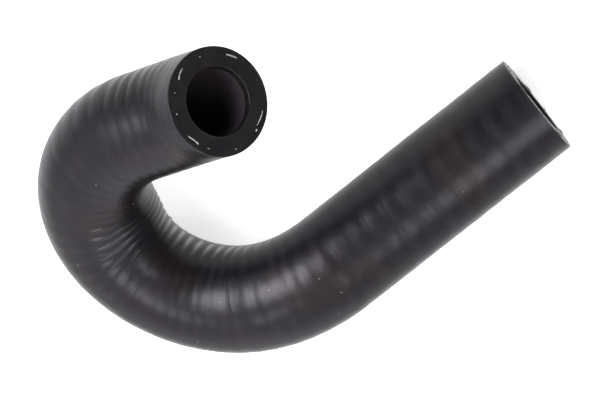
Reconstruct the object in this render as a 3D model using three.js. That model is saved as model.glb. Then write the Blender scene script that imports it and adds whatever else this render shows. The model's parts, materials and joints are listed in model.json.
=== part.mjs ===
// A moulded rubber coolant hose, in one piece: a long arm, an entry bend, a sweeping U bend and a
// short raised arm. The curing wrap has left low ribs around its outside; the bore is plain.
// Millimetres, +Z up. The hose lies as it comes to rest on a floor at Z = 0.
import * as THREE from 'three';
import { ParametricGeometry } from 'three/addons/geometries/ParametricGeometry.js';
import { ConvexHull } from 'three/addons/math/ConvexHull.js';
import { mergeVertices } from 'three/addons/utils/BufferGeometryUtils.js';

// Section
const BORE_DIAMETER = 19;
const WALL = 5.5; // from the bore to the crest of a rib

// Straight stretches of the centreline, from the long arm's mouth onwards, and how far apart the
// ribs of the curing wrap lie along each
const LONG_ARM = { length: 70.8, ribPitch: 6 };
const MIDDLE_STRAIGHT = { length: 10.8, ribPitch: 3.4 };
const SHORT_ARM = { length: 6.1, ribPitch: 5 };

// Bends of the centreline. `plane` is where the bend's centre lies around the hose, counted from
// the entry bend's and carried along the centreline without twist. `crease` is how much deeper the
// valleys between the ribs get at the bend's inner side.
const ENTRY_BEND = { radius: 40.6, angle: 34.9, plane: 0, ribPitch: 4, crease: 0.1 };
const U_BEND = { radius: 33, angle: 171.9, plane: -72.4, ribPitch: 4.2, crease: 0.3 };
const EXIT_BEND = { radius: 30.2, angle: 27.8, plane: 166.3, ribPitch: 4.2, crease: 0 };

const RIB_HEIGHT = 0.3;

// The squeezed rubber stands out at the inner side of the U bend: how high at most, how far along the
// centreline from the long arm's mouth, over what length each way, and where around the hose
const SWELL = { height: 2.4, at: 150, reach: 17, plane: -40 };

// How the hose is rolled about its long arm before it settles on the floor
const LYING_ROLL = -175;

// Fineness of the mesh
const SIDES = 24;
const BORE_STEP = 4.5;
const RIB_PROFILE = [0, 1, 1]; // share of the rib's height at equal steps of one pitch

const BORE_RADIUS = BORE_DIAMETER / 2;
const OUTER_RADIUS = BORE_RADIUS + WALL;
const TURN = 2 * Math.PI;

/** One straight or arc of the centreline, with the frame (X ahead) and the distance at its start. */
class Stretch {
  constructor(start, begin, { length, radius = Infinity, angle, plane = 0, ribPitch, crease = 0 }) {
    this.start = start;
    this.begin = begin;
    this.length = length ?? radius * THREE.MathUtils.degToRad(angle);
    this.curvature = 1 / radius;
    this.plane = THREE.MathUtils.degToRad(plane);
    this.ribs = this.length / ribPitch;
    this.crease = crease;
  }

  /** The frame at a share of the stretch: X runs ahead, Y and Z span the section. */
  frameAt(share) {
    const move = new THREE.Matrix4();
    if (this.curvature === 0) {
      move.makeTranslation(this.length * share, 0, 0);
    } else {
      const radius = 1 / this.curvature;
      const swing = new THREE.Matrix4().makeRotationZ(this.length * share * this.curvature);
      move.makeRotationX(this.plane)
        .multiply(new THREE.Matrix4().makeTranslation(0, radius, 0))
        .multiply(swing)
        .multiply(new THREE.Matrix4().makeTranslation(0, -radius, 0))
        .multiply(new THREE.Matrix4().makeRotationX(-this.plane));
    }
    return this.start.clone().multiply(move);
  }
}

/** The hose's centreline as straights and arcs, each starting where the last one ends. */
class Centreline {
  constructor() {
    this.stretches = [];
  }

  end() {
    return this.stretches.length ? this.stretches.at(-1).frameAt(1) : new THREE.Matrix4();
  }

  add(straightOrBend) {
    this.stretches.push(new Stretch(this.end(), this.total('length'), straightOrBend));
    return this;
  }

  /** Total of a property ('length' or 'ribs') over all stretches. */
  total(property) {
    return this.stretches.reduce((sum, stretch) => sum + stretch[property], 0);
  }

  /** The stretch, and the share of it, that a running total of the property reaches. */
  locate(property, value) {
    let left = value;
    for (const stretch of this.stretches) {
      if (left <= stretch[property]) return { stretch, share: left / stretch[property] };
      left -= stretch[property];
    }
    return { stretch: this.stretches.at(-1), share: 1 };
  }
}

/** How far the outside stands out in the swell, at a distance along the hose and an angle around it. */
function swellAt(distance, angle) {
  const along = (distance - SWELL.at) / SWELL.reach;
  const inward = Math.max(0, Math.cos(angle - THREE.MathUtils.degToRad(SWELL.plane)));
  return SWELL.height * Math.exp(-along * along) * inward * inward;
}

/** A ring of the outside at one step of the rib pattern. */
function outerRing(centreline, step, steps) {
  const { stretch, share } = centreline.locate('ribs', centreline.total('ribs') * step / steps);
  const fall = 1 - RIB_PROFILE[step % RIB_PROFILE.length];
  return {
    frame: stretch.frameAt(share),
    radiusAt: (angle) => {
      const crease = stretch.crease * Math.max(0, Math.cos(angle - stretch.plane));
      const swell = swellAt(stretch.begin + share * stretch.length, angle);
      return OUTER_RADIUS + swell - fall * (RIB_HEIGHT + crease);
    },
  };
}

/** A ring of the plain bore at one step along the centreline. */
function boreRing(centreline, step, steps) {
  const { stretch, share } = centreline.locate('length', centreline.total('length') * step / steps);
  return { frame: stretch.frameAt(share), radiusAt: () => BORE_RADIUS };
}

/** All rings of the wall in order: the outside one way, then the bore the other way. */
function wallRings(centreline) {
  const ribSteps = Math.round(centreline.total('ribs')) * RIB_PROFILE.length;
  const boreSteps = Math.ceil(centreline.total('length') / BORE_STEP);
  const rings = [];
  for (let i = 0; i <= ribSteps; i++) rings.push(outerRing(centreline, i, ribSteps));
  for (let i = boreSteps; i >= 0; i--) rings.push(boreRing(centreline, i, boreSteps));
  return rings;
}

/** The closed wall: a grid of rings by sides that joins up both ways round. */
function wallGeometry(rings) {
  const place = (u, v, target) => {
    const ring = rings[Math.round(u * rings.length) % rings.length];
    const angle = -TURN * (Math.round(v * SIDES) % SIDES) / SIDES;
    const radius = ring.radiusAt(angle);
    target.set(0, radius * Math.cos(angle), radius * Math.sin(angle)).applyMatrix4(ring.frame);
  };
  const geometry = new ParametricGeometry(place, rings.length, SIDES);
  geometry.deleteAttribute('normal');
  geometry.deleteAttribute('uv');
  const closed = mergeVertices(geometry);
  closed.computeVertexNormals();
  return closed;
}

/** The corners of a geometry as vectors. */
function cornersOf(geometry) {
  const position = geometry.getAttribute('position');
  const corners = [];
  for (let i = 0; i < position.count; i++) {
    corners.push(new THREE.Vector3().fromBufferAttribute(position, i));
  }
  return corners;
}

/** Centre of mass of the solid, summed over the pyramids from the origin to each triangle. */
function centreOfMass(geometry, corners) {
  const sum = new THREE.Vector3();
  const cross = new THREE.Vector3();
  const index = geometry.getIndex();
  let volume = 0;
  for (let i = 0; i < index.count; i += 3) {
    const [a, b, c] = [0, 1, 2].map((k) => corners[index.getX(i + k)]);
    const part = a.dot(cross.crossVectors(b, c)) / 6;
    volume += part;
    sum.addScaledVector(a, part / 4).addScaledVector(b, part / 4).addScaledVector(c, part / 4);
  }
  return sum.divideScalar(volume);
}

/** Across which edge of a hull face the centre of mass lies, or null where it lies over the face. */
function edgeToRollOver(face, centre) {
  let worst = null;
  let furthest = 0;
  let edge = face.edge;
  do {
    const along = edge.head().point.clone().sub(edge.tail().point).normalize();
    const outward = along.cross(face.normal);
    const beyond = outward.dot(centre.clone().sub(edge.tail().point));
    if (beyond > furthest) [worst, furthest] = [edge, beyond];
    edge = edge.next;
  } while (edge !== face.edge);
  return worst;
}

/** Rolls the hull from face to face until it rests on one, and returns the way up from there. */
function settle(hull, centre, startUp) {
  let face = hull.faces.reduce((a, b) => (b.normal.dot(startUp) < a.normal.dot(startUp) ? b : a));
  let edge = edgeToRollOver(face, centre);
  while (edge) {
    face = edge.twin.face;
    edge = edgeToRollOver(face, centre);
  }
  return face.normal.clone().negate();
}

/** Turns and moves the mesh so that `up` is +Z, the long arm's mouth faces +X and it lies on Z = 0. */
function layDown(mesh, up) {
  const mouthWay = new THREE.Vector3(-1, 0, 0).projectOnPlane(up).normalize();
  const across = up.clone().cross(mouthWay);
  const turned = new THREE.Matrix4().makeBasis(mouthWay, across, up).transpose();
  mesh.quaternion.setFromRotationMatrix(turned);
  const box = new THREE.Box3().setFromObject(mesh, true);
  const middle = box.getCenter(new THREE.Vector3());
  mesh.position.set(-middle.x, -middle.y, -box.min.z);
}

const rubber = new THREE.MeshStandardMaterial({ color: 0x37363a, roughness: 0.55, metalness: 0 });

const centreline = new Centreline();
for (const part of [LONG_ARM, ENTRY_BEND, U_BEND, MIDDLE_STRAIGHT, EXIT_BEND, SHORT_ARM]) {
  centreline.add(part);
}

const hose = new THREE.Mesh(wallGeometry(wallRings(centreline)), rubber);
hose.name = 'hose';

const corners = cornersOf(hose.geometry);
const roll = THREE.MathUtils.degToRad(LYING_ROLL);
const startUp = new THREE.Vector3(0, Math.cos(roll), Math.sin(roll));
const hull = new ConvexHull().setFromPoints(corners);
layDown(hose, settle(hull, centreOfMass(hose.geometry, corners), startUp));

const group = new THREE.Group();
group.add(hose);

export default group;
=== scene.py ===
"""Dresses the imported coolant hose: its wrapped rubber wall, the yarn in its cut ends, dust and a studio."""
import json
import logging
import math
from collections.abc import Iterable
from dataclasses import dataclass, replace
from enum import Enum
from functools import reduce

import bpy
import numpy as np
from mathutils import Matrix, Vector


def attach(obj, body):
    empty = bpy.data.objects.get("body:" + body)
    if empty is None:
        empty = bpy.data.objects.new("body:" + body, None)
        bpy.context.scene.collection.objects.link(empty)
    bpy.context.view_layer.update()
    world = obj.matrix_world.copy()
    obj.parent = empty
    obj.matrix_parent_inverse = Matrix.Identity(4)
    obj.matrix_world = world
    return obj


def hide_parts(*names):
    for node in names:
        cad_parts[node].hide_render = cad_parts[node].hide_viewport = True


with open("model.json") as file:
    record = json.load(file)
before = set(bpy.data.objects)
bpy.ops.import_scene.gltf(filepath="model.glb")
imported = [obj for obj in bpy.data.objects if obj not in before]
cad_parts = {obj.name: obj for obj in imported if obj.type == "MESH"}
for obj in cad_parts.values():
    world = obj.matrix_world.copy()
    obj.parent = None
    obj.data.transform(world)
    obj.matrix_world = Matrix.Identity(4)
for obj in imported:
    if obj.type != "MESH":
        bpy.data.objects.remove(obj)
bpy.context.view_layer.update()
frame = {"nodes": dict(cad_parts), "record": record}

NODE = "hose"
BODY = "root"
MM = 0.001
TINY = 1e-9
MEAN_NOISE = 0.5
WHITE = (1.0, 1.0, 1.0)

log = logging.getLogger("hose")

Array = np.ndarray
Colour = tuple[float, float, float]
Spot = tuple[float, float, float]
Material = bpy.types.Material
Piece = bpy.types.Object
Socket = bpy.types.NodeSocket


class Zone(Enum):
    """The parts of the wall's surface, each with a finish of its own."""

    OUTSIDE = 0
    CUT_END = 1
    BORE = 2


class Mouth(Enum):
    """The hose's two open ends, by the name of the mount on each."""

    LONG = "long_arm_end"
    SHORT = "short_arm_end"


def opaque(colour: object) -> object:
    """Give a plain colour its alpha of 1, and leave a socket as it is."""
    return (*colour, 1.0) if isinstance(colour, tuple) else colour


def of_type(sockets: Iterable[Socket], kind: str) -> list[Socket]:
    """The sockets of one type, in their order."""
    return [socket for socket in sockets if socket.type == kind]


def add_object(name: str, data: bpy.types.ID) -> Piece:
    """Add an object to the scene, at the origin.

    Args:
        name: The object's name.
        data: Its mesh, lamp or camera.

    Returns:
        The object.
    """
    added = bpy.data.objects.new(name, data)
    bpy.context.scene.collection.objects.link(added)
    return added


class NodeMaker:
    """Adds nodes to one shader or geometry tree and links them up."""

    def __init__(self, tree: bpy.types.NodeTree) -> None:
        """Start on the tree that the nodes go into."""
        self.tree = tree

    def feed(self, socket: Socket, value: object) -> None:
        """Link a socket to another one, or set its value.

        Args:
            socket: The input to feed.
            value: An output socket, or a plain value.
        """
        if isinstance(value, Socket):
            self.tree.links.new(value, socket)
        else:
            socket.default_value = value

    def add(self, kind: str, inputs: dict | None = None, **settings: object) -> bpy.types.Node:
        """Add one node.

        Args:
            kind: Blender's name of the node type.
            inputs: What feeds each input, by its name or number.
            settings: The node's own properties.

        Returns:
            The new node.
        """
        node = self.tree.nodes.new(kind)
        for name, value in settings.items():
            setattr(node, name, value)
        for key, value in (inputs or {}).items():
            self.feed(node.inputs[key], value)
        return node

    def math(self, operation: str, *values: object, clamp: bool = False) -> Socket:
        """Add a Math node.

        Args:
            operation: Blender's name of the operation.
            values: Its one to three inputs.
            clamp: Whether the result is kept between 0 and 1.

        Returns:
            The result's socket.
        """
        node = self.add("ShaderNodeMath", operation=operation, use_clamp=clamp)
        for socket, value in zip(node.inputs, values):
            self.feed(socket, value)
        return node.outputs[0]

    def product(self, *values: object) -> Socket:
        """Multiply some values, from the first to the last."""
        return reduce(lambda left, right: self.math("MULTIPLY", left, right), values)

    def mix(self, factor: object, first: object, second: object) -> Socket:
        """Add a colour mix.

        Args:
            factor: How much of the second colour shows.
            first: The first colour.
            second: The second colour.

        Returns:
            The mixed colour's socket.
        """
        node = self.add("ShaderNodeMix", data_type="RGBA")
        colours = of_type(node.inputs, "RGBA")
        self.feed(node.inputs[0], factor)
        self.feed(colours[0], opaque(first))
        self.feed(colours[1], opaque(second))
        return of_type(node.outputs, "RGBA")[0]

    def scaled(self, vector: object, factor: object) -> Socket:
        """Multiply a vector by a number."""
        return self.add("ShaderNodeVectorMath", {0: vector, "Scale": factor}, operation="SCALE").outputs[0]


class MaterialMaker(NodeMaker):
    """Makes one material around Blender's Principled shader."""

    def __init__(self, name: str) -> None:
        """Start a material with a name."""
        self.material = bpy.data.materials.new(name)
        self.material.use_nodes = True
        super().__init__(self.material.node_tree)

    def coordinates(self, kind: str) -> Socket:
        """Read one of Blender's texture coordinates, by its name."""
        return self.add("ShaderNodeTexCoord").outputs[kind]

    def attribute(self, name: str) -> Socket:
        """Read a number that the mesh carries, by its attribute's name."""
        return self.add("ShaderNodeAttribute", attribute_name=name).outputs["Fac"]

    def bump(self, height: Socket, distance: float, under: Socket | None = None) -> Socket:
        """Add a Bump node.

        Args:
            height: What raises the surface, from 0 to 1.
            distance: How high 1 stands, in metres.
            under: The bumped normal that it goes over, if there is one.

        Returns:
            The bumped normal.
        """
        node = self.add("ShaderNodeBump", {"Height": height, "Distance": distance, "Strength": 1.0})
        if under is not None:
            self.feed(node.inputs["Normal"], under)
        return node.outputs["Normal"]

    def finish(self, inputs: dict[str, object]) -> Material:
        """Feed the shader.

        Args:
            inputs: What feeds each of its inputs, by the input's name.

        Returns:
            The finished material.
        """
        shader = self.tree.nodes["Principled BSDF"]
        for name, value in inputs.items():
            self.feed(shader.inputs[name], opaque(value))
        return self.material


@dataclass(frozen=True)
class Clouds:
    """A cloudy pattern of noise.

    Attributes:
        scale: How fine it is, in 1/m, or for each lap of the wrap.
        detail: How many finer layers it has.
        gain: How much its contrast is raised, if it is.
        offset: What is then added to it, before it is kept between 0 and 1.
    """

    scale: float
    detail: float
    gain: float | None = None
    offset: float = 0.0

    def grey(self, make: NodeMaker, place: Socket | None, extra: Socket | None = None) -> Socket:
        """Add the pattern's nodes.

        Args:
            make: The tree's node maker.
            place: The coordinates that it reads, if it reads any.
            extra: A further number that it reads, if it does.

        Returns:
            Its grey value, which lies around `MEAN_NOISE` where the contrast isn't raised.
        """
        inputs = {"Scale": self.scale, "Detail": self.detail}
        if place is not None:
            inputs["Vector"] = place
        if extra is not None:
            inputs["W"] = extra
        dimensions = "3D" if extra is None else "4D"
        if place is None:
            dimensions = "1D"
        noise = make.add("ShaderNodeTexNoise", inputs, noise_dimensions=dimensions).outputs[0]
        if self.gain is None:
            return noise
        return make.math("MULTIPLY_ADD", noise, self.gain, self.offset, clamp=True)


@dataclass(frozen=True)
class Stretch:
    """A straight or a bend of the centreline, with the wrap's ribs on it.

    Attributes:
        rib_pitch: How far apart the ribs lie along the centreline, in metres.
        rib_height: How high their crests stand over the seams, in metres.
        straight: Length of a straight stretch, in metres.
        radius: Radius of the centreline in a bend, in metres.
        angle: How far a bend turns, in degrees.
        plane: Where a bend's centre lies around the hose, in degrees, carried along without twist.
    """

    rib_pitch: float
    rib_height: float
    straight: float = 0.0
    radius: float = math.inf
    angle: float = 0.0
    plane: float = 0.0

    @property
    def bent(self) -> bool:
        """Whether it is a bend."""
        return math.isfinite(self.radius)

    @property
    def length(self) -> float:
        """Length of the centreline in it."""
        return self.radius * math.radians(self.angle) if self.bent else self.straight


@dataclass(frozen=True)
class Sections:
    """Cross-sections of the hose at some distances along its centreline.

    Attributes:
        centres: Their centres, one row each.
        ahead: The directions that the centreline runs in.
        across: The directions that angles around the hose are counted from.
        upward: The directions a quarter turn further round.
    """

    centres: Array
    ahead: Array
    across: Array
    upward: Array


@dataclass
class Centreline:
    """The hose's centreline as it is moulded, from the long arm's mouth to the short arm's.

    Attributes:
        stretches: The long arm, the entry bend, the U bend, the middle straight, the exit bend and the
            short arm.
        blend: Over what length the ribs change from one stretch to the next, in metres.
        samples: At how many points the stretches are read to blend them.
    """

    stretches: tuple[Stretch, ...] = (
        Stretch(6.0 * MM, 0.05 * MM, straight=70.8 * MM),
        Stretch(4.0 * MM, 0.04 * MM, radius=40.6 * MM, angle=34.9, plane=0.0),
        Stretch(4.3 * MM, 0.035 * MM, radius=33.0 * MM, angle=171.9, plane=-72.4),
        Stretch(3.4 * MM, 0.08 * MM, straight=10.8 * MM),
        Stretch(4.2 * MM, 0.03 * MM, radius=30.2 * MM, angle=27.8, plane=166.3),
        Stretch(5.0 * MM, 0.01 * MM, straight=6.1 * MM),
    )
    blend: float = 4.0 * MM
    samples: int = 1200

    @property
    def length(self) -> float:
        """The whole length of the centreline."""
        return sum(part.length for part in self.stretches)

    @staticmethod
    def _moves(part: Stretch, run: Array) -> Array:
        """How far a stretch has carried and turned a section after some of its length.

        Args:
            part: The stretch.
            run: Distances along it.

        Returns:
            One 4 by 4 matrix for each distance.
        """
        moves = np.tile(np.eye(4), (len(run), 1, 1))
        if not part.bent:
            moves[:, 0, 3] = run
            return moves
        turned = run / part.radius
        moves[:, 0, 0] = moves[:, 1, 1] = np.cos(turned)
        moves[:, 1, 0], moves[:, 0, 1] = np.sin(turned), -np.sin(turned)
        moves[:, 0, 3] = part.radius * np.sin(turned)
        moves[:, 1, 3] = part.radius * (1 - np.cos(turned))
        roll = np.array(Matrix.Rotation(math.radians(part.plane), 4, "X"))
        return roll @ moves @ roll.T

    def sections(self, distances: Array) -> Sections:
        """The cross-sections at some distances from the long arm's mouth.

        Args:
            distances: Distances along the centreline.

        Returns:
            The sections, with the long arm's mouth at the origin and the long arm along X.
        """
        start, begin = np.eye(4), 0.0
        found = np.zeros((len(distances), 4, 4))
        for part in self.stretches:
            here = distances >= begin - TINY
            found[here] = start @ self._moves(part, distances[here] - begin)
            start = start @ self._moves(part, np.array([part.length]))[0]
            begin += part.length
        return Sections(found[:, :3, 3], found[:, :3, 0], found[:, :3, 1], found[:, :3, 2])

    def _blended(self, values: list[float], distances: Array) -> Array:
        """A value of the stretches, blended where one passes into the next.

        Args:
            values: The value of each stretch.
            distances: Distances along the centreline.

        Returns:
            The blended value at each distance.
        """
        fine = np.linspace(0.0, self.length, self.samples)
        ends = np.cumsum([part.length for part in self.stretches])
        which = np.minimum(np.searchsorted(ends, fine), len(self.stretches) - 1)
        spacing, kernel_reach = fine[1], 3 * self.blend
        wide = round(kernel_reach / spacing)
        kernel = np.exp(-0.5 * (np.arange(-wide, wide + 1) * spacing / self.blend) ** 2)
        kernel /= kernel.sum()
        padded = np.pad(np.array(values)[which], wide, mode="edge")
        return np.interp(distances, fine, np.convolve(padded, kernel, mode="valid"))

    def rib_pitches(self, distances: Array) -> Array:
        """How far apart the ribs lie at some distances."""
        return self._blended([part.rib_pitch for part in self.stretches], distances)

    def rib_heights(self, distances: Array) -> Array:
        """How high the ribs' crests stand at some distances."""
        return self._blended([part.rib_height for part in self.stretches], distances)


@dataclass
class Placement:
    """Where the hose lies: what turns the centreline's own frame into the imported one.

    Attributes:
        matrix: The 4 by 4 matrix that does it.
    """

    matrix: Array

    @staticmethod
    def _mouth_centre(mesh: bpy.types.Mesh, mount: dict) -> Array:
        """The centre of a packed cut end.

        Args:
            mesh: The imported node's mesh.
            mount: The record's mount on that end.

        Returns:
            The middle of all corners that lie on the mount's face and within its reach.
        """
        near, on_face = 40 * MM, 0.02 * MM
        corners = np.array([v.co for v in mesh.vertices])
        gap = corners - np.array(mount["pos_m"])
        flat = np.abs(gap @ np.array(mount["axis"])) < on_face
        ring = corners[flat & (np.linalg.norm(gap, axis=1) < near)]
        return (ring.min(0) + ring.max(0)) / 2

    @classmethod
    def from_frame(cls, line: Centreline) -> "Placement":
        """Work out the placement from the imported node's two cut ends.

        Args:
            line: The centreline that is to lie in the node.

        Returns:
            The placement that puts both ends of the centreline on the node's.
        """
        mesh = frame["nodes"][NODE].data
        mounts = {mount["name"]: mount for mount in frame["record"]["mounts"]}
        long_centre = cls._mouth_centre(mesh, mounts[Mouth.LONG.value])
        short_centre = cls._mouth_centre(mesh, mounts[Mouth.SHORT.value])
        ends = line.sections(np.array([0.0, line.length]))
        own = cls._axes(ends.ahead[0], ends.centres[1] - ends.centres[0])
        packed = cls._axes(-np.array(mounts[Mouth.LONG.value]["axis"]), short_centre - long_centre)
        matrix = np.eye(4)
        matrix[:3, :3] = packed @ own.T
        matrix[:3, 3] = long_centre - matrix[:3, :3] @ ends.centres[0]
        return cls(matrix)

    @staticmethod
    def _axes(ahead: Array, aside: Array) -> Array:
        """Three square axes as columns.

        Args:
            ahead: The way that the first one runs.
            aside: The way that the second one leans towards.

        Returns:
            The axes.
        """
        first = ahead / np.linalg.norm(ahead)
        second = aside - first * (aside @ first)
        second /= np.linalg.norm(second)
        return np.stack([first, second, np.cross(first, second)], axis=1)

    def place(self, points: Array) -> Array:
        """Points of the centreline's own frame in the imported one."""
        return points @ self.matrix[:3, :3].T + self.matrix[:3, 3]

    def turn(self, ways: Array) -> Array:
        """Directions of the centreline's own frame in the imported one."""
        return ways @ self.matrix[:3, :3].T


@dataclass(frozen=True)
class RubberFinish:
    """Cured black rubber with the imprint of the wrapping tape and a pale film, whose pale colour also paints
    highlights along some ridges.

    Attributes:
        name: The material's name.
        base: The rubber's main colour.
        warm: The colour of its warmer patches.
        cool: The colour of its cooler patches.
        film_and_highlight_colour: The pale colour of the film that comes out of the rubber; the same colour
            paints the highlights along some ridges.
        bloom_share: How much of the film shows at most on a plain crest.
        index: Refractive index of its skin.
        roughness: Lowest and highest roughness.
        dent: Height of the shallow dents that the hand wrapping has left, in metres.
        weave: Height of the tape's imprint.
        weave_pitch: Spacing of the tape's threads.
        streak: Height of the fine streaks that run round the hose.
        streak_rate: How quickly the streaks change along the hose, against around it.
        grain: Height of the fine grain.
        warm_patches: Where the warmer colour lies.
        cool_patches: Where the cooler colour lies.
        film_and_highlight: Where the film lies on the crests.
        smears: How the roughness changes.
        dents: The dents' pattern.
        streaks: The streaks' pattern.
        grains: The grain's pattern.
    """

    name: str
    base: Colour = (0.0058, 0.0055, 0.0064)
    warm: Colour = (0.0092, 0.0064, 0.0068)
    cool: Colour = (0.0042, 0.0048, 0.0076)
    film_and_highlight_colour: Colour = (0.62, 0.61, 0.60)
    bloom_share: float = 0.010
    index: float = 1.28
    roughness: tuple[float, float] = (0.25, 0.36)
    dent: float = 0.08 * MM
    weave: float = 0.003 * MM
    weave_pitch: float = 0.7 * MM
    streak: float = 0.05 * MM
    streak_rate: float = 5.0
    grain: float = 0.012 * MM
    warm_patches: Clouds = Clouds(42.0, 3.0, 5.0, -2.3)
    cool_patches: Clouds = Clouds(42.0, 3.0, -5.0, 2.2)
    film_and_highlight: Clouds = Clouds(160.0, 5.0, 3.0, -1.1)
    smears: Clouds = Clouds(95.0, 4.0)
    dents: Clouds = Clouds(190.0, 2.0)
    streaks: Clouds = Clouds(160.0, 2.0)
    grains: Clouds = Clouds(1900.0, 3.0)

    def build(self) -> Material:
        """Make the material.

        Returns:
            A material that reads Object coordinates, the UV map, the wall's `crest` attribute and the
            attribute that carries its painted highlights.
        """
        make = MaterialMaker(self.name)
        place = make.coordinates("Object")
        colour = make.mix(self.warm_patches.grey(make, place), self.base, self.warm)
        colour = make.mix(self.cool_patches.grey(make, place), colour, self.cool)
        film_and_highlight = make.product(self.film_and_highlight.grey(make, place), make.attribute("crest"), self.bloom_share)
        # Painted highlight: the pale colour is also laid along the ridges where the wall's patches call for
        # it, in place of reflected light.
        film_and_highlight = make.math("ADD", film_and_highlight, make.attribute("painted_highlights"), clamp=True)
        low, high = self.roughness
        return make.finish({
            "Base Color": make.mix(film_and_highlight, colour, self.film_and_highlight_colour),
            "Roughness": make.math("MULTIPLY_ADD", self.smears.grey(make, place), high - low, low),
            "IOR": self.index,
            "Normal": self._bump(make, place),
        })

    def _bump(self, make: MaterialMaker, place: Socket) -> Socket:
        """The dents, with the tape's woven imprint, the streaks and the grain over them.

        Args:
            make: The material's node maker.
            place: Its Object coordinates.

        Returns:
            The bumped normal.
        """
        split = make.add("ShaderNodeSeparateXYZ", {0: make.coordinates("UV")})
        along, around = split.outputs[0], split.outputs[1]
        rate = math.tau / self.weave_pitch
        threads = [make.math("SINE", make.product(way, rate)) for way in (along, around)]
        normal = make.bump(self.dents.grey(make, place), self.dent)
        normal = make.bump(make.product(*threads), self.weave, normal)
        streaks = self.streaks.grey(make, place, make.product(along, self.streak_rate))
        normal = make.bump(streaks, self.streak, normal)
        return make.bump(self.grains.grey(make, place), self.grain, normal)


@dataclass(frozen=True)
class CutFinish:
    """Rubber that a knife has cut square, with the knife's faint arcs.

    Attributes:
        name: The material's name.
        base: The cut rubber's colour.
        streak: The colour of its streaks.
        roughness: Its roughness.
        score: Height of the knife marks, in metres.
        arc_scale: How close the knife's arcs lie, in 1/m.
        arc_bend: How much the arcs are bent.
        arc_detail: How much finer detail they have.
        arc_share: How strong the arcs are beside the fine marks.
        streaks: Where the streaks lie.
        marks: The fine marks' pattern.
    """

    name: str
    base: Colour = (0.0056, 0.0050, 0.0056)
    streak: Colour = (0.0130, 0.0110, 0.0116)
    roughness: float = 0.34
    score: float = 0.04 * MM
    arc_scale: float = 520.0
    arc_bend: float = 6.0
    arc_detail: float = 2.0
    arc_share: float = 0.35
    streaks: Clouds = Clouds(300.0, 4.0, 4.0, -1.6)
    marks: Clouds = Clouds(2600.0, 2.0)

    def build(self) -> Material:
        """Make the material.

        Returns:
            A material that reads Object coordinates only.
        """
        make = MaterialMaker(self.name)
        place = make.coordinates("Object")
        arcs = make.add("ShaderNodeTexWave", {
            "Vector": place, "Scale": self.arc_scale, "Distortion": self.arc_bend,
            "Detail": self.arc_detail}, bands_direction="DIAGONAL").outputs["Fac"]
        height = make.math("MULTIPLY_ADD", arcs, self.arc_share, self.marks.grey(make, place))
        return make.finish({
            "Base Color": make.mix(self.streaks.grey(make, place), self.base, self.streak),
            "Roughness": self.roughness,
            "Normal": make.bump(height, self.score),
        })


@dataclass(frozen=True)
class FibreFinish:
    """Pale fibre or dust: matt, a little uneven in tone.

    Attributes:
        name: The material's name.
        light: Its lighter tone.
        dark: Its darker tone.
        roughness: Its roughness.
        fuzz: Height of its unevenness, in metres.
        tones: Where the lighter tone lies.
    """

    name: str
    light: Colour
    dark: Colour
    roughness: float = 0.85
    fuzz: float = 0.03 * MM
    tones: Clouds = Clouds(1500.0, 2.0, 3.0, -1.0)

    def build(self) -> Material:
        """Make the material.

        Returns:
            A material that reads Object coordinates only.
        """
        make = MaterialMaker(self.name)
        tone = self.tones.grey(make, make.coordinates("Object"))
        return make.finish({
            "Base Color": make.mix(tone, self.dark, self.light),
            "Roughness": self.roughness,
            "Normal": make.bump(tone, self.fuzz),
        })


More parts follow.
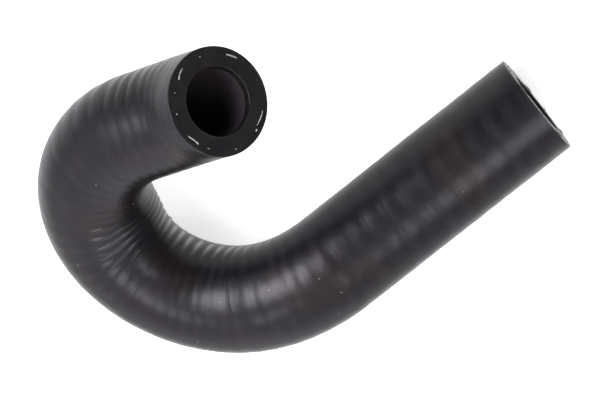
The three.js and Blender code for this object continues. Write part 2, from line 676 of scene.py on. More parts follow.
class GeometryTree(NodeMaker):
    """A Geometry Nodes tree with named inputs, run once on a piece."""

    def __init__(self, name: str) -> None:
        """Start a tree that takes and gives one geometry.

        Args:
            name: The tree's name.
        """
        super().__init__(bpy.data.node_groups.new(name, "GeometryNodeTree"))
        for way in ("INPUT", "OUTPUT"):
            self.tree.interface.new_socket(name="Geometry", in_out=way, socket_type="NodeSocketGeometry")
        self.inputs = self.add("NodeGroupInput")
        self.values: dict[str, object] = {}

    @property
    def geometry(self) -> Socket:
        """The geometry that comes in."""
        return self.inputs.outputs["Geometry"]

    def size(self, name: str, value: float | int) -> Socket:
        """Add a named input with its value.

        Args:
            name: The input's name.
            value: What the modifier sets it to; an int makes a whole-number input.

        Returns:
            The input's socket inside the tree.
        """
        kind = "NodeSocketInt" if isinstance(value, int) else "NodeSocketFloat"
        socket = self.tree.interface.new_socket(name=name, in_out="INPUT", socket_type=kind)
        self.values[socket.identifier] = value
        return self.inputs.outputs[name]

    def attribute(self, name: str, kind: str = "FLOAT") -> Socket:
        """Read an attribute of the geometry by its name."""
        node = self.add("GeometryNodeInputNamedAttribute", {"Name": name}, data_type=kind)
        return node.outputs["Attribute"]

    def in_zone(self, number: int) -> Socket:
        """Tell which faces lie in a zone.

        Args:
            number: The zone's value in the face attribute `zone`.

        Returns:
            The selection's socket.
        """
        same = self.add("FunctionNodeCompare", data_type="INT", operation="EQUAL")
        whole = of_type(same.inputs, "INT")
        self.feed(whole[0], self.attribute("zone", "INT"))
        self.feed(whole[1], number)
        return same.outputs["Result"]

    def store(self, geometry: Socket, name: str, value: Socket) -> Socket:
        """Store a number at each point.

        Args:
            geometry: The geometry that carries it.
            name: The attribute's name.
            value: The number.

        Returns:
            The geometry with the attribute.
        """
        inputs = {"Geometry": geometry, "Name": name, "Value": value}
        return self.add("GeometryNodeStoreNamedAttribute", inputs).outputs["Geometry"]

    def end(self, geometry: Socket, *materials: Material) -> None:
        """Close the tree with Realize Instances and Set Material.

        Args:
            geometry: What the tree has made.
            materials: One material for all of it, or one for each zone in turn.
        """
        done = self.add("GeometryNodeRealizeInstances", {"Geometry": geometry}).outputs["Geometry"]
        for number, material in enumerate(materials):
            node = self.add("GeometryNodeSetMaterial", {"Geometry": done, "Material": material})
            if len(materials) > 1:
                self.feed(node.inputs["Selection"], self.in_zone(number))
            done = node.outputs["Geometry"]
        self.add("NodeGroupOutput", {"Geometry": done})

    def apply(self, piece: Piece) -> None:
        """Run the tree on a piece and keep the result as its plain mesh.

        Args:
            piece: The object whose geometry goes in.
        """
        modifier = piece.modifiers.new(self.tree.name, "NODES")
        modifier.node_group = self.tree
        for identifier, value in self.values.items():
            modifier[identifier] = value
        bpy.context.view_layer.update()
        graph = bpy.context.evaluated_depsgraph_get()
        mesh = bpy.data.meshes.new_from_object(
            piece.evaluated_get(graph), preserve_all_data_layers=True, depsgraph=graph)
        piece.modifiers.remove(modifier)
        mesh.name = piece.name
        piece.data = mesh


def degrees_from(plane: float, angles: Array) -> Array:
    """How far round the hose from a plane some angles lie, from -180 to 180 degrees.

    Args:
        plane: Where the plane lies around the hose, in degrees.
        angles: The angles, in radians.

    Returns:
        Their distances from it, in degrees.
    """
    return (np.degrees(angles) - plane + 180.0) % 360.0 - 180.0


@dataclass(frozen=True)
class Swell:
    """Where the squeezed rubber stands out at the inner side of the U bend.

    Attributes:
        height: How far it stands out at most, in metres.
        at: Where along the centreline, in metres from the long arm's mouth.
        reach: Over what length each way.
        plane: Where around the hose, in degrees.
    """

    height: float = 2.4 * MM
    at: float = 150 * MM
    reach: float = 17 * MM
    plane: float = -40.0

    def heights(self, distances: Array, angles: Array) -> Array:
        """How far it stands out, one row for each distance and one column for each angle."""
        along = np.exp(-((distances - self.at) / self.reach) ** 2)
        inward = np.maximum(0.0, np.cos(angles - math.radians(self.plane))) ** 2
        return self.height * along[:, None] * inward


@dataclass(frozen=True)
class Patch:
    """A patch of the outside where some part of the relief is stronger, fading out all round.

    Attributes:
        peak: The value in the middle of the patch.
        at: Where the middle lies along the centreline, in metres from the long arm's mouth.
        reach: How far the patch goes each way along the centreline.
        plane: Where the middle lies around the hose, in degrees.
        spread: How far the patch goes each way around the hose, in degrees.
    """

    peak: float
    at: float
    reach: float
    plane: float
    spread: float

    def values(self, distances: Array, angles: Array) -> Array:
        """Its values, one row for each distance and one column for each angle."""
        along = (distances - self.at) / self.reach
        aside = degrees_from(self.plane, angles) / self.spread
        return self.peak * np.exp(-along[:, None] ** 2 - aside ** 2)


@dataclass(frozen=True)
class SeamBow:
    """How the wrap's seams have slid along the hose at the inner side of the U bend.

    Attributes:
        slide: How far they have slid at most, in metres.
        at: Where that is along the centreline.
        reach: How far it goes each way along the centreline.
        plane: Where it is around the hose, in degrees.
        below: How far it goes round to one side, in degrees.
        above: How far it goes round to the other side.
    """

    slide: float = 7.5 * MM
    at: float = 142 * MM
    reach: float = 32 * MM
    plane: float = -85.0
    below: float = 55.0
    above: float = 58.0

    def slides(self, distances: Array, angles: Array) -> Array:
        """How far the seams have slid, one row for each distance and one column for each angle."""
        aside = degrees_from(self.plane, angles)
        aside = np.where(aside < 0.0, aside / self.below, aside / self.above)
        along = (distances - self.at) / self.reach
        return self.slide * np.exp(-along[:, None] ** 2 - aside ** 2)


@dataclass(frozen=True)
class WrapRelief:
    """What the curing wrap has left: pillows between spiral seams, squeezed ridges and shallow waves.

    Attributes:
        roundness: How square the pillows are between crisp seams.
        ridge_width: Width of a squeezed ridge, in rib pitches.
        offset: Where the seams lie against the count of ribs, in rib pitches.
        wander: How far the seams stray from an even spiral, in rib pitches.
        unevenness: How much the pillows and ridges differ from lap to lap.
        sway: Height of the slow waves, in metres.
        mottle: Height of the quick waves.
        level: The noise at which the waves leave the surface where it is.
        highlight_off_ridge: How much of the painted highlight lies off the ridges.
        seed: Seed of all the noise.
        laps: How the laps differ.
        strays: How the seams stray.
        fades: Where the pillows fade out.
        slow: The slow waves.
        quick: The quick waves.
    """

    roundness: float = 2.2
    ridge_width: float = 0.20
    offset: float = -0.15
    wander: float = 0.35
    unevenness: float = 1.6
    sway: float = 0.25 * MM
    mottle: float = 0.10 * MM
    level: float = 0.62
    highlight_off_ridge: float = 0.08
    seed: int = 7
    laps: Clouds = Clouds(0.83, 1.0)
    strays: Clouds = Clouds(70.0, 2.0)
    fades: Clouds = Clouds(90.0, 2.0, 3.6, -0.9)
    slow: Clouds = Clouds(55.0, 1.0)
    quick: Clouds = Clouds(165.0, 1.0)


class ReliefTree(GeometryTree):
    """The Geometry Nodes tree that raises the wrap's relief on the wall."""

    def __init__(self, relief: WrapRelief, finishes: tuple[Material, ...]) -> None:
        """Build the tree, ready to apply to a wall that carries the attributes it reads.

        Args:
            relief: The relief's sizes.
            finishes: The material of each zone, in their order.
        """
        super().__init__("wrap_relief")
        self.relief = relief
        self.seed = self.size("Seed", relief.seed)
        self.place = self.add("GeometryNodeInputPosition").outputs[0]
        turns = self.math("DIVIDE", self.attribute("around"), math.tau)
        phase = self._phase(turns)
        share = self.math("SUBTRACT", phase, self.math("FLOOR", phase))
        off_crest = self.math("ABSOLUTE", self.math("MULTIPLY_ADD", share, 2.0, -1.0))

        fall = self._fall(share, off_crest)
        bell = self._bell(off_crest)
        uneven = self._unevenness(self.math("SUBTRACT", phase, turns))
        pillow = self.product(fall, self.attribute("pillow"), uneven, self._cloudy(relief.fades))
        ridge = self.product(bell, self.attribute("ridge"), uneven)
        waves = self.product(self._waves(), self.attribute("relief"))
        height = self.math("ADD", self.math("SUBTRACT", ridge, pillow), waves)

        offset = self.scaled(self.attribute("out", "FLOAT_VECTOR"), height)
        raised = self.add("GeometryNodeSetPosition", {"Geometry": self.geometry, "Offset": offset}).outputs[0]
        raised = self.store(raised, "crest", self.math("SUBTRACT", 1.0, fall))
        # Painted highlight: mostly on the ridges, where the patches call for it, a share that the finish
        # paints pale in place of reflected light.
        on_ridge = self.math("MULTIPLY_ADD", bell, 1.0 - relief.highlight_off_ridge, relief.highlight_off_ridge)
        raised = self.store(raised, "painted_highlights", self.product(on_ridge, self.attribute("film_and_highlight")))
        self.end(raised, *finishes)

    def _cloudy(self, clouds: Clouds) -> Socket:
        """The grey value of one of the relief's seeded patterns."""
        return clouds.grey(self, self.place, self.seed)

    def _phase(self, turns: Socket) -> Socket:
        """The running count of the wrap's laps, which is whole at the seams.

        Args:
            turns: How far round the hose a point lies, in turns.

        Returns:
            The count.
        """
        stray = self.math("SUBTRACT", self._cloudy(self.relief.strays), MEAN_NOISE)
        wander = self.math("ADD", self.size("Seam Wander", self.relief.wander), self.attribute("wild"))
        drift = self.math("MULTIPLY_ADD", stray, wander, self.size("Rib Offset", self.relief.offset))
        return self.math("ADD", self.math("ADD", self.attribute("ribs"), turns), drift)

    def _fall(self, share: Socket, off_crest: Socket) -> Socket:
        """How far a pillow has fallen away: in a soft wave, or squarely where the seams are crisp.

        Args:
            share: How far a point lies from one seam to the next.
            off_crest: How far it lies from the crest: 1 at the seams.

        Returns:
            The fall, from 0 on the crest to 1 at the seams.
        """
        groove = self.math("POWER", off_crest, self.size("Pillow Roundness", self.relief.roundness))
        wave = self.math("COSINE", self.product(share, math.tau))
        hollow = self.math("MULTIPLY_ADD", wave, 0.5, 0.5)
        crisp = self.math("MINIMUM", self.attribute("crisp"), 1.0)
        return self.math("MULTIPLY_ADD", self.math("SUBTRACT", groove, hollow), crisp, hollow)

    def _bell(self, off_crest: Socket) -> Socket:
        """The section of a squeezed ridge: a bell curve that is 1 at the seams.

        Args:
            off_crest: How far a point lies from the crest: 1 at the seams.

        Returns:
            The curve's value.
        """
        width = self.product(self.size("Ridge Width", self.relief.ridge_width), 2.0)
        off_seam = self.math("DIVIDE", self.math("SUBTRACT", 1.0, off_crest), width)
        return self.math("EXPONENT", self.product(off_seam, off_seam, -1.0))

    def _unevenness(self, lap: Socket) -> Socket:
        """How high the pillows and ridges of a lap stand against the mean.

        Args:
            lap: The count of the lap.

        Returns:
            The factor for their height.
        """
        tension = self.relief.laps.grey(self, None, self.math("ADD", lap, self.seed))
        off_mean = self.math("SUBTRACT", tension, MEAN_NOISE)
        return self.math("MULTIPLY_ADD", off_mean, self.size("Unevenness", self.relief.unevenness), 1.0)

    def _waves(self) -> Socket:
        """The height of the slow and the quick waves, in metres.

        Returns:
            The height.
        """
        slow, quick = (self.math("SUBTRACT", self._cloudy(waves), self.relief.level)
                       for waves in (self.relief.slow, self.relief.quick))
        swaying = self.product(slow, self.size("Sway", self.relief.sway))
        return self.math("MULTIPLY_ADD", quick, self.size("Mottle", self.relief.mottle), swaying)


@dataclass
class HoseWall:
    """The whole rubber wall: ribbed outside, cut ends and plain bore, as one closed surface.

    Attributes:
        line: The centreline that it follows.
        bore_radius: Radius of the bore.
        wall: Thickness of the wall up to the ribs' crests.
        swell: The swell inside the U bend.
        bow: How the seams lean inside the U bend.
        relief: The wrap's relief.
        creases: Where the bend has squeezed the seams up into sharp ridges, and how high they stand.
        wraps: Where the pillows between the seams stand higher, and by how much.
        crisp: Where the seams are sharp grooves, as a share.
        wild: Where the seams wander more, in rib pitches.
        painted_highlights: Where light is painted on the rubber as a pale colour, as a share, mostly along
            the ridges.
        sides: Faces around the hose.
        steps_per_rib: Rings of the mesh on each rib.
        samples: At how many points the ribs are counted.
        edge_radius: Rounding of the cut ends' edges.
        edge_rings: Rings on each of those edges.
        face_rings: Rings across a cut face, with those of its edges.
        bore_step: Spacing of the rings in the bore.
    """

    line: Centreline
    bore_radius: float = 9.5 * MM
    wall: float = 5.5 * MM
    swell: Swell = Swell()
    bow: SeamBow = SeamBow()
    relief: WrapRelief = WrapRelief()
    creases: tuple[Patch, ...] = (
        Patch(0.60 * MM, 140 * MM, 28 * MM, -48.0, 26.0),
        Patch(0.40 * MM, 155 * MM, 12 * MM, -122.0, 26.0),
    )
    wraps: tuple[Patch, ...] = (
        Patch(0.16 * MM, 195 * MM, 13 * MM, 116.0, 26.0),
        Patch(0.14 * MM, 140 * MM, 16 * MM, -146.0, 26.0),
        Patch(0.10 * MM, 86 * MM, 12 * MM, -125.0, 40.0),
        Patch(0.30 * MM, 140 * MM, 32 * MM, -48.0, 26.0),
    )
    crisp: tuple[Patch, ...] = (
        Patch(1.0, 194 * MM, 18 * MM, 125.0, 45.0),
        Patch(0.6, 160 * MM, 25 * MM, -100.0, 60.0),
    )
    wild: tuple[Patch, ...] = (Patch(1.1, 195 * MM, 22 * MM, 185.0, 42.0),)
    # Painted highlights: pale colour on the ridges at the U bend's inner rim in place of the reflection of
    # the white surroundings, faint pale lines on the fan of squeezed ridges in place of their highlights, and
    # a pale band on the upper side near the short arm in place of grazing sheen.
    painted_highlights: tuple[Patch, ...] = (
        Patch(1.00, 140 * MM, 27 * MM, -50.0, 15.0),
        Patch(0.30, 112 * MM, 22 * MM, -50.0, 9.0),
        Patch(0.06, 153 * MM, 9 * MM, -118.0, 20.0),
        Patch(0.34, 202 * MM, 22 * MM, 82.0, 22.0),
    )
    sides: int = 104
    steps_per_rib: int = 16
    samples: int = 2400
    edge_radius: float = 0.08 * MM
    edge_rings: int = 3
    face_rings: int = 8
    bore_step: float = 2.4 * MM

    @property
    def outer_radius(self) -> float:
        """Radius of the outside at the ribs' crests."""
        return self.bore_radius + self.wall

    def _outside_rings(self) -> tuple[Array, Array]:
        """Where the outside's rings lie.

        Returns:
            Their distances along the centreline, and the running count of ribs at each.
        """
        fine = np.linspace(0.0, self.line.length, self.samples)
        pitch = self.line.rib_pitches(fine)
        steps = (1 / pitch[1:] + 1 / pitch[:-1]) / 2 * np.diff(fine)
        count = np.concatenate([[0.0], np.cumsum(steps)])
        numbers = np.linspace(0.0, count[-1], round(count[-1]) * self.steps_per_rib + 1)
        return np.interp(numbers, count, fine), numbers

    def _rounding(self, radius: float, way: int) -> tuple[Array, Array]:
        """The rings that round an edge of a cut end, from the cut face to the side.

        Args:
            radius: Radius of the side.
            way: 1 for the outer edge, -1 for the bore's.

        Returns:
            Their distances in from the cut face, and their radii.
        """
        turn = np.linspace(0.0, math.pi / 2, self.edge_rings)
        return self.edge_radius * (1 - np.cos(turn)), radius + way * self.edge_radius * (np.sin(turn) - 1)

    def _rings(self) -> dict[str, Array]:
        """List every ring of the closed wall in order.

        Returns:
            For each ring its distance along the centreline, its radius, how much of the outside's
            relief it takes, and the zone of the faces between it and the next.
        """
        total, margin = self.line.length, 1.5 * self.edge_radius
        stations = self._outside_rings()[0]
        inside = stations[(stations > margin) & (stations < total - margin)]
        rim_in, rim = self._rounding(self.outer_radius, 1)
        lip_in, lip = self._rounding(self.bore_radius, -1)
        face = np.linspace(rim[0], lip[0], self.face_rings)[1:-1]
        bore_rings = math.ceil(total / self.bore_step)
        bore = np.linspace(total - self.edge_radius, self.edge_radius, bore_rings)[1:-1]
        blocks = [
            (rim_in, rim, 1.0, Zone.CUT_END),
            (inside, self.outer_radius, 1.0, Zone.OUTSIDE),
            (total - rim_in[::-1], rim[::-1], 1.0, Zone.CUT_END),
            (np.full_like(face, total), face, 0.0, Zone.CUT_END),
            (total - lip_in, lip, 0.0, Zone.CUT_END),
            (bore, self.bore_radius, 0.0, Zone.BORE),
            (lip_in[::-1], lip[::-1], 0.0, Zone.CUT_END),
            (np.zeros_like(face), face[::-1], 0.0, Zone.CUT_END),
        ]
        table = np.concatenate([
            np.stack(np.broadcast_arrays(at, radius, relief, zone.value), axis=1)
            for at, radius, relief, zone in blocks])
        return dict(zip(("at", "radius", "relief", "zone"), table.T))

    def build(self, placement: Placement, finishes: tuple[Material, ...]) -> Piece:
        """Make the wall's mesh, raise its ribs and give each zone its finish.

        Args:
            placement: Where the hose lies.
            finishes: The material of each zone, in their order.

        Returns:
            The finished piece.
        """
        rings = self._rings()
        angles = np.arange(self.sides) * math.tau / self.sides
        sections = self.line.sections(rings["at"])
        out = (np.cos(angles)[None, :, None] * sections.across[:, None]
               + np.sin(angles)[None, :, None] * sections.upward[:, None])
        radii = rings["radius"][:, None] + rings["relief"][:, None] * self.swell.heights(rings["at"], angles)
        points = sections.centres[:, None] + out * radii[..., None]

        count, sides = len(rings["at"]), self.sides
        ring, side = np.meshgrid(np.arange(count), np.arange(sides), indexing="ij")
        ring_next, side_next = (ring + 1) % count, (side + 1) % sides
        corners = [(ring, side), (ring, side_next), (ring_next, side_next), (ring_next, side)]
        faces = np.stack([(r * sides + s).ravel() for r, s in corners], axis=1)
        mesh = bpy.data.meshes.new("hose_wall")
        mesh.from_pydata(placement.place(points.reshape(-1, 3)).tolist(), [], faces.tolist())
        self._mark(mesh, rings, angles, placement.turn(out.reshape(-1, 3)))
        self._unwrap(mesh, rings["at"], ring, side)
        mesh.shade_smooth()
        piece = add_object("hose_wall", mesh)
        ReliefTree(self.relief, finishes).apply(piece)
        return piece

    def _mark(self, mesh: bpy.types.Mesh, rings: dict[str, Array], angles: Array, out: Array) -> None:
        """Store what the relief's tree and the finishes read.

        Args:
            mesh: The wall's mesh.
            rings: What `_rings` gave.
            angles: The angles around the hose.
            out: The outward direction at each corner.
        """
        at, relief = rings["at"], rings["relief"][:, None]
        stations, numbers = self._outside_rings()
        pillow = self.line.rib_heights(at)[:, None] + self._over(self.wraps, at, angles)
        values = {
            "ribs": np.interp(at[:, None] - self.bow.slides(at, angles), stations, numbers),
            "around": angles[None, :],
            "pillow": pillow * relief,
            "ridge": self._over(self.creases, at, angles) * relief,
            "crisp": self._over(self.crisp, at, angles),
            "wild": self._over(self.wild, at, angles),
            # The painted highlights' patches, on the outside only.
            "film_and_highlight": self._over(self.painted_highlights, at, angles) * relief,
            "relief": relief,
        }
        for name, value in values.items():
            spread = np.broadcast_to(value, (len(at), self.sides)).astype(np.float32)
            mesh.attributes.new(name, "FLOAT", "POINT").data.foreach_set("value", spread.ravel())
        ways = mesh.attributes.new("out", "FLOAT_VECTOR", "POINT")
        ways.data.foreach_set("vector", out.astype(np.float32).ravel())
        zones = mesh.attributes.new("zone", "INT", "FACE")
        zones.data.foreach_set("value", np.repeat(rings["zone"], self.sides).astype(np.int32))

    def _unwrap(self, mesh: bpy.types.Mesh, at: Array, ring: Array, side: Array) -> None:
        """Lay the UV map out in metres, along the hose and around it.

        Args:
            mesh: The wall's mesh.
            at: Each ring's distance along the centreline.
            ring: The ring number of each face.
            side: The side number of each face.
        """
        along = np.append(at, at[0])
        turn = math.tau * self.outer_radius / self.sides
        u = np.stack([along[ring], along[ring], along[ring + 1], along[ring + 1]], axis=-1)
        v = np.stack([side, side + 1, side + 1, side], axis=-1) * turn
        layer = mesh.uv_layers.new(name="UVMap")
        layer.data.foreach_set("uv", np.stack([u, v], axis=-1).astype(np.float32).ravel())

    @staticmethod
    def _over(patches: tuple[Patch, ...], distances: Array, angles: Array) -> Array:
        """The sum of some patches at each ring and side."""
        return sum(patch.values(distances, angles) for patch in patches)


@dataclass(frozen=True)
class Yarn:
    """One yarn end that shows in a cut face, running around the hose's axis.

    Attributes:
        start: Where it starts around the hose, in degrees.
        end: Where it ends.
        near: Its distance from the axis at the start, in metres.
        far: Its distance from the axis at the end.
        thickness: Its thickness, in metres.
    """

    start: float
    end: float
    near: float = 13.2 * MM
    far: float = 13.2 * MM
    thickness: float = 0.36 * MM


@dataclass
class YarnEnds:
    """The knitted layer's yarn where the knife has laid it open in the two cut faces.

    Attributes:
        line: The hose's centreline.
        short_mouth: The yarn ends in the short arm's face.
        long_mouth: The yarn ends in the long arm's face.
        step: Spacing of the points along a yarn, in degrees.
        fewest_steps: Fewest of those steps in a yarn.
        waver: How far a yarn wavers out and in, in metres.
        waver_rate: How often it does, in radians for each radian around the hose.
        lift: How high over the cut a yarn's middle lies at its tips, in thicknesses.
        arch: How much higher it lies halfway.
        tip_width: Width that a yarn would have at its very ends, in thicknesses.
        tip_cut: How much of its taper the knife has taken off at each end.
        facets: Faces around a yarn.
    """

    line: Centreline
    short_mouth: tuple[Yarn, ...] = (
        Yarn(44, 30, 13.15 * MM, 13.3 * MM, 0.5 * MM), Yarn(79, 81, 12.75 * MM, 12.75 * MM, 0.3 * MM),
        Yarn(108, 117, 13.3 * MM, 13.1 * MM, 0.42 * MM), Yarn(117, 122, 13.1 * MM, 12.75 * MM, 0.5 * MM),
        Yarn(138, 139.5, 12.9 * MM, 12.9 * MM, 0.3 * MM), Yarn(163, 165, 13.0 * MM, 13.0 * MM, 0.32 * MM),
        Yarn(193, 204, 13.4 * MM, 13.1 * MM, 0.4 * MM), Yarn(204, 208, 13.1 * MM, 13.3 * MM, 0.5 * MM),
        Yarn(221, 223.5, 13.3 * MM, 13.25 * MM, 0.35 * MM), Yarn(257, 259, 13.6 * MM, 13.55 * MM, 0.3 * MM),
        Yarn(292, 295, 13.45 * MM, 13.4 * MM, 0.5 * MM), Yarn(299, 318, 13.05 * MM, 13.4 * MM, 0.34 * MM),
    )
    long_mouth: tuple[Yarn, ...] = (
        Yarn(20, 33, 13.1 * MM, 13.3 * MM), Yarn(58, 60), Yarn(92, 104, 13.4 * MM, 13.1 * MM),
        Yarn(141, 143), Yarn(171, 186, 13.2 * MM, 13.4 * MM), Yarn(214, 216),
        Yarn(243, 262, 13.3 * MM, 13.0 * MM), Yarn(288, 291), Yarn(322, 337, 13.0 * MM, 13.3 * MM),
    )
    step: float = 1.5
    fewest_steps: int = 3
    waver: float = 0.06 * MM
    waver_rate: float = 14.0
    lift: float = 0.20
    arch: float = 0.15
    tip_width: float = 0.35
    tip_cut: float = 0.15
    facets: int = 8

    def build(self, placement: Placement, finish: Material) -> Piece:
        """Make the yarn ends of both faces.

        Args:
            placement: Where the hose lies.
            finish: The yarn's material.

        Returns:
            The finished piece.
        """
        points: list[Array] = []
        edges: list[tuple[int, int]] = []
        widths: list[float] = []
        ends = self.line.sections(np.array([0.0, self.line.length]))
        for number, (yarns, way_out) in enumerate(((self.long_mouth, -1), (self.short_mouth, 1))):
            axes = np.stack([ends.across[number], ends.upward[number], ends.ahead[number] * way_out])
            for yarn in yarns:
                path, thick = self._path(yarn)
                edges += [(len(points) + i, len(points) + i + 1) for i in range(len(path) - 1)]
                points += list(ends.centres[number] + path @ axes)
                widths += thick.tolist()
        mesh = bpy.data.meshes.new("yarn_ends")
        mesh.from_pydata(placement.place(np.array(points)).tolist(), edges, [])
        mesh.attributes.new("width", "FLOAT", "POINT").data.foreach_set("value", widths)
        piece = add_object("yarn_ends", mesh)
        self._strand_tree(finish).apply(piece)
        return piece

    def _path(self, yarn: Yarn) -> tuple[Array, Array]:
        """The path of one yarn in its cut face.

        Args:
            yarn: The yarn.

        Returns:
            Its points, as places across, upward and out of the face, and its width at each.
        """
        steps = max(self.fewest_steps, round(abs(yarn.end - yarn.start) / self.step))
        share = np.arange(steps + 1) / steps
        angle = np.radians(yarn.start + (yarn.end - yarn.start) * share)
        radius = yarn.near + (yarn.far - yarn.near) * share + self.waver * np.sin(self.waver_rate * angle)
        height = yarn.thickness * (self.lift + self.arch * np.sin(math.pi * share))
        taper = np.sin(math.pi * (self.tip_cut + (1 - 2 * self.tip_cut) * share))
        width = yarn.thickness * (self.tip_width + (1 - self.tip_width) * taper)
        return np.stack([np.cos(angle) * radius, np.sin(angle) * radius, height], axis=1), width

    def _strand_tree(self, finish: Material) -> GeometryTree:
        """The Geometry Nodes tree that sweeps a round strand along each yarn's path.

        Args:
            finish: The yarn's material.

        Returns:
            The tree, ready to apply.
        """
        tree = GeometryTree("yarn_strands")
        paths = tree.add("GeometryNodeMeshToCurve", {"Mesh": tree.geometry}).outputs[0]
        circle = tree.add("GeometryNodeCurvePrimitiveCircle", {
            "Resolution": tree.size("Facets", self.facets), "Radius": tree.size("Width Share", 0.5)})
        strands = tree.add("GeometryNodeCurveToMesh", {
            "Curve": paths, "Profile Curve": circle.outputs[0], "Scale": tree.attribute("width"),
            "Fill Caps": True})
        smooth = tree.add("GeometryNodeSetShadeSmooth", {"Geometry": strands.outputs[0]})
        tree.end(smooth.outputs[0], finish)
        return tree


@dataclass
class DustSpecks:
    """The few pale specks that lie on the outside.

    Attributes:
        density: Specks for each square metre.
        size: Size of an average speck, in metres.
        least: Least length, breadth and height of a speck, in sizes.
        most: Greatest length, breadth and height.
        smoothness: How often the ball that a speck starts from is subdivided.
        seed: Seed of their places and sizes.
    """

    density: float = 2600.0
    size: float = 0.30 * MM
    least: Spot = (0.4, 0.4, 0.25)
    most: Spot = (1.9, 1.0, 0.5)
    smoothness: int = 2
    seed: int = 11

    def build(self, wall: Piece, finish: Material) -> Piece:
        """Scatter the specks over the wall's outside.

        Args:
            wall: The finished wall.
            finish: The dust's material.

        Returns:
            The finished piece.
        """
        piece = add_object("dust_specks", wall.data.copy())
        self._scatter_tree(finish).apply(piece)
        return piece

    def _scatter_tree(self, finish: Material) -> GeometryTree:
        """The Geometry Nodes tree that puts a flat little grain at each chosen spot.

        Args:
            finish: The dust's material.

        Returns:
            The tree, ready to apply.
        """
        tree = GeometryTree("dust_scatter")
        seed = tree.size("Seed", self.seed)
        spots = tree.add("GeometryNodeDistributePointsOnFaces", {
            "Mesh": tree.geometry, "Selection": tree.in_zone(Zone.OUTSIDE.value),
            "Density": tree.size("Density", self.density), "Seed": seed})
        radius = tree.size("Grain Radius", 0.5)
        grain = tree.add("GeometryNodeMeshIcoSphere", {"Radius": radius, "Subdivisions": self.smoothness})
        lengths = tree.add("FunctionNodeRandomValue", {"Seed": seed}, data_type="FLOAT_VECTOR")
        for socket, value in zip(of_type(lengths.inputs, "VECTOR"), (self.least, self.most)):
            tree.feed(socket, value)
        grains = tree.add("GeometryNodeInstanceOnPoints", {
            "Points": spots.outputs["Points"], "Instance": grain.outputs["Mesh"],
            "Rotation": spots.outputs["Rotation"],
            "Scale": tree.scaled(lengths.outputs[0], tree.size("Speck Size", self.size))})
        tree.end(grains.outputs[0], finish)
        return tree


@dataclass(frozen=True)
class Lamp:
    """A soft rectangular lamp near the hose.

    Attributes:
        name: Its name.
        place: Where its middle hangs, in metres.
        aim: The spot on the hose that it faces.
        long_way: Which way its length runs, before it is squared up to the aim.
        length: Its length, in metres.
        width: Its width.
        power: Its power, in watts.
        beam: How wide its light spreads, in degrees.
        tint: The colour of its light.
    """

    name: str
    place: Spot
    aim: Spot
    long_way: Spot
    length: float
    width: float
    power: float
    beam: float
    tint: Colour = (0.96, 0.94, 1.0)

    def hang(self) -> None:
        """Hang the lamp, out of the camera's sight."""
        data = bpy.data.lights.new(self.name, "AREA")
        data.shape = "RECTANGLE"
        data.size, data.size_y = self.length, self.width
        data.energy, data.color = self.power, self.tint
        data.spread = math.radians(self.beam)
        back = (Vector(self.place) - Vector(self.aim)).normalized()
        side = Vector(self.long_way)
        side = (side - back * side.dot(back)).normalized()
        turn = Matrix((side, back.cross(side), back)).transposed().to_4x4()
        lamp = add_object(self.name, data)
        lamp.matrix_world = Matrix.Translation(self.place) @ turn
        lamp.visible_camera = False


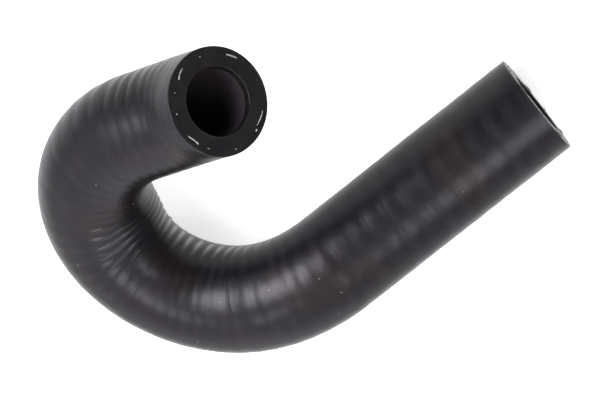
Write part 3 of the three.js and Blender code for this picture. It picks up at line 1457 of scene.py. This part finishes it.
@dataclass
class Studio:
    """A white floor, soft lamps and the photograph's view from above.

    Attributes:
        camera_place: Where the camera stands.
        camera_turn: How it is turned, as XYZ angles in degrees.
        focal_pixels: Its focal length in pixels of the picture.
        picture_width: Width of the picture in pixels.
        sensor: Width of the camera's sensor, in millimetres.
        sight: How near and how far the camera sees, in metres.
        floor_radius: Radius of the floor.
        floor_sides: Sides of the floor.
        floor_colour: Colour of the floor.
        floor_roughness: Its roughness.
        floor_lift: How much brighter it looks to the camera and in reflections.
        bright_side: Which way the room's bright wall lies.
        bright_edge: Where the dim part of the room ends and the bright wall begins, as cosines.
        bright: Brightness of that wall.
        dim: Brightness of the rest of the room.
        glare: How much brighter the wall shows in reflections than it lights the hose.
        tint: The colour of the room's light.
        lamps: The lamps: one for the start of the U bend, one for its outer side, and a broad and a
            narrow one for the long arm.
    """

    camera_place: Spot = (0.3563, 0.6392, 1.10132)
    camera_turn: Spot = (-34.4227, -4.4772, -35.1827)
    focal_pixels: float = 4774.3
    picture_width: float = 600.0
    sensor: float = 36.0
    sight: tuple[float, float] = (0.01, 50.0)
    floor_radius: float = 4.0
    floor_sides: int = 96
    floor_colour: Colour = (0.82, 0.82, 0.82)
    floor_roughness: float = 0.9
    floor_lift: float = 0.70
    bright_side: Spot = (-0.958, -0.097, 0.268)
    bright_edge: tuple[float, float] = (-0.02, 0.20)
    bright: float = 0.6
    dim: float = 0.06
    glare: float = 3.1
    tint: Colour = (0.95, 0.925, 1.0)
    lamps: tuple[Lamp, ...] = (
        Lamp("window", (-0.0874, 0.1354, 0.1698), (-0.0143, -0.0133, 0.0579), (0.1949, 0.8084, -0.5554),
             length=0.16, width=0.13, power=0.125, beam=56.0),
        Lamp("side_strip", (-0.0922, -0.0163, 0.1418), (-0.0464, 0.0134, 0.0523),
             (-0.7523, -0.3608, -0.5513), length=0.055, width=0.06, power=0.0105, beam=56.0),
        Lamp("arm_glow", (0.1172, 0.0617, 0.267), (0.0449, -0.0192, 0.0418), (0.1202, -0.8659, 0.4856),
             length=0.22, width=0.07, power=0.043, beam=180.0),
        Lamp("arm_strip", (0.1263, -0.0779, 0.3776), (0.0283, -0.0186, 0.0469), (0.979, 0.0, -0.206),
             length=0.08, width=0.26, power=0.060, beam=50.0),
    )

    def build(self) -> None:
        """Set the camera, the floor, the lamps and the world."""
        bpy.context.scene.view_settings.view_transform = "Standard"
        self._camera()
        self._floor()
        for lamp in self.lamps:
            lamp.hang()
        self._world()

    def _camera(self) -> None:
        """Put the camera where the photograph was taken from."""
        data = bpy.data.cameras.new("camera")
        data.sensor_width = self.sensor
        data.lens = self.sensor * self.focal_pixels / self.picture_width
        data.clip_start, data.clip_end = self.sight
        camera = add_object("camera", data)
        camera.location = self.camera_place
        camera.rotation_euler = [math.radians(angle) for angle in self.camera_turn]
        bpy.context.scene.camera = camera

    def _floor(self) -> None:
        """Lay a round white floor under the hose."""
        radius = self.floor_radius
        turns = [math.tau * i / self.floor_sides for i in range(self.floor_sides)]
        rim = [(radius * math.cos(turn), radius * math.sin(turn), 0.0) for turn in turns]
        mesh = bpy.data.meshes.new("floor")
        mesh.from_pydata(rim, [], [list(range(self.floor_sides))])
        make = MaterialMaker("white_floor")
        path = make.add("ShaderNodeLightPath").outputs
        seen = make.math("MAXIMUM", path["Is Camera Ray"], path["Is Glossy Ray"])
        seen = make.math("MAXIMUM", seen, path["Is Transmission Ray"])
        mesh.materials.append(make.finish({
            "Base Color": self.floor_colour,
            "Roughness": self.floor_roughness,
            "Emission Color": WHITE,
            "Emission Strength": make.product(seen, self.floor_lift),
        }))
        add_object("floor", mesh)

    def _world(self) -> None:
        """A room with its bright wall on one side, which looks white to the camera."""
        world = bpy.data.worlds.new("room")
        bpy.context.scene.world = world
        world.use_nodes = True
        make = NodeMaker(world.node_tree)
        background = world.node_tree.nodes["Background"]
        way = make.add("ShaderNodeTexCoord").outputs["Generated"]
        towards = make.add("ShaderNodeVectorMath", {0: way, 1: self.bright_side}, operation="DOT_PRODUCT")
        dim_end, bright_start = self.bright_edge
        light = make.add("ShaderNodeMapRange", {
            "Value": towards.outputs["Value"], "From Min": dim_end, "From Max": bright_start,
            "To Min": self.dim, "To Max": self.bright}, interpolation_type="SMOOTHSTEP").outputs[0]
        path = make.add("ShaderNodeLightPath").outputs
        mirrored = make.math("MULTIPLY_ADD", path["Is Glossy Ray"], self.glare - 1, 1.0)
        strength = make.math("MAXIMUM", path["Is Camera Ray"], make.product(light, mirrored))
        make.feed(background.inputs["Strength"], strength)
        make.feed(background.inputs["Color"], make.mix(path["Is Camera Ray"], self.tint, WHITE))


def wall_finishes() -> tuple[Material, ...]:
    """Make the materials of the wall's zones.

    Returns:
        The materials, in the order of `Zone`.
    """
    outside = RubberFinish("wrapped_rubber")
    # Painted light: the bore's rubber takes a colour about five times lighter than the outside's, so that the
    # bore, which little light reaches, still shows grey.
    bore = replace(
        outside, name="bore_rubber_painted_light", base=(0.030, 0.026, 0.030), warm=(0.036, 0.030, 0.032),
        cool=(0.024, 0.022, 0.028), bloom_share=0.0, weave=0.0, streak=0.0, roughness=(0.45, 0.55))
    return outside.build(), CutFinish("cut_rubber").build(), bore.build()


def ride(piece: Piece) -> None:
    """Fix a piece to the hose's body and report it.

    Args:
        piece: The finished piece.
    """
    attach(piece, BODY)
    log.info("%s: %d faces", piece.name, len(piece.data.polygons))


def main() -> None:
    """Build the studio, then the hose from its wall outwards."""
    logging.basicConfig(level=logging.INFO, format="%(name)s: %(message)s")
    Studio().build()
    line = Centreline()
    placement = Placement.from_frame(line)
    wall = HoseWall(line).build(placement, wall_finishes())
    ride(wall)
    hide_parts(NODE)
    yarn = FibreFinish("yarn", light=(0.42, 0.41, 0.40), dark=(0.20, 0.20, 0.20)).build()
    ride(YarnEnds(line).build(placement, yarn))
    dust = FibreFinish("dust", light=(0.36, 0.35, 0.33), dark=(0.20, 0.19, 0.18)).build()
    ride(DustSpecks().build(wall, dust))


if __name__ == "__main__":
    main()
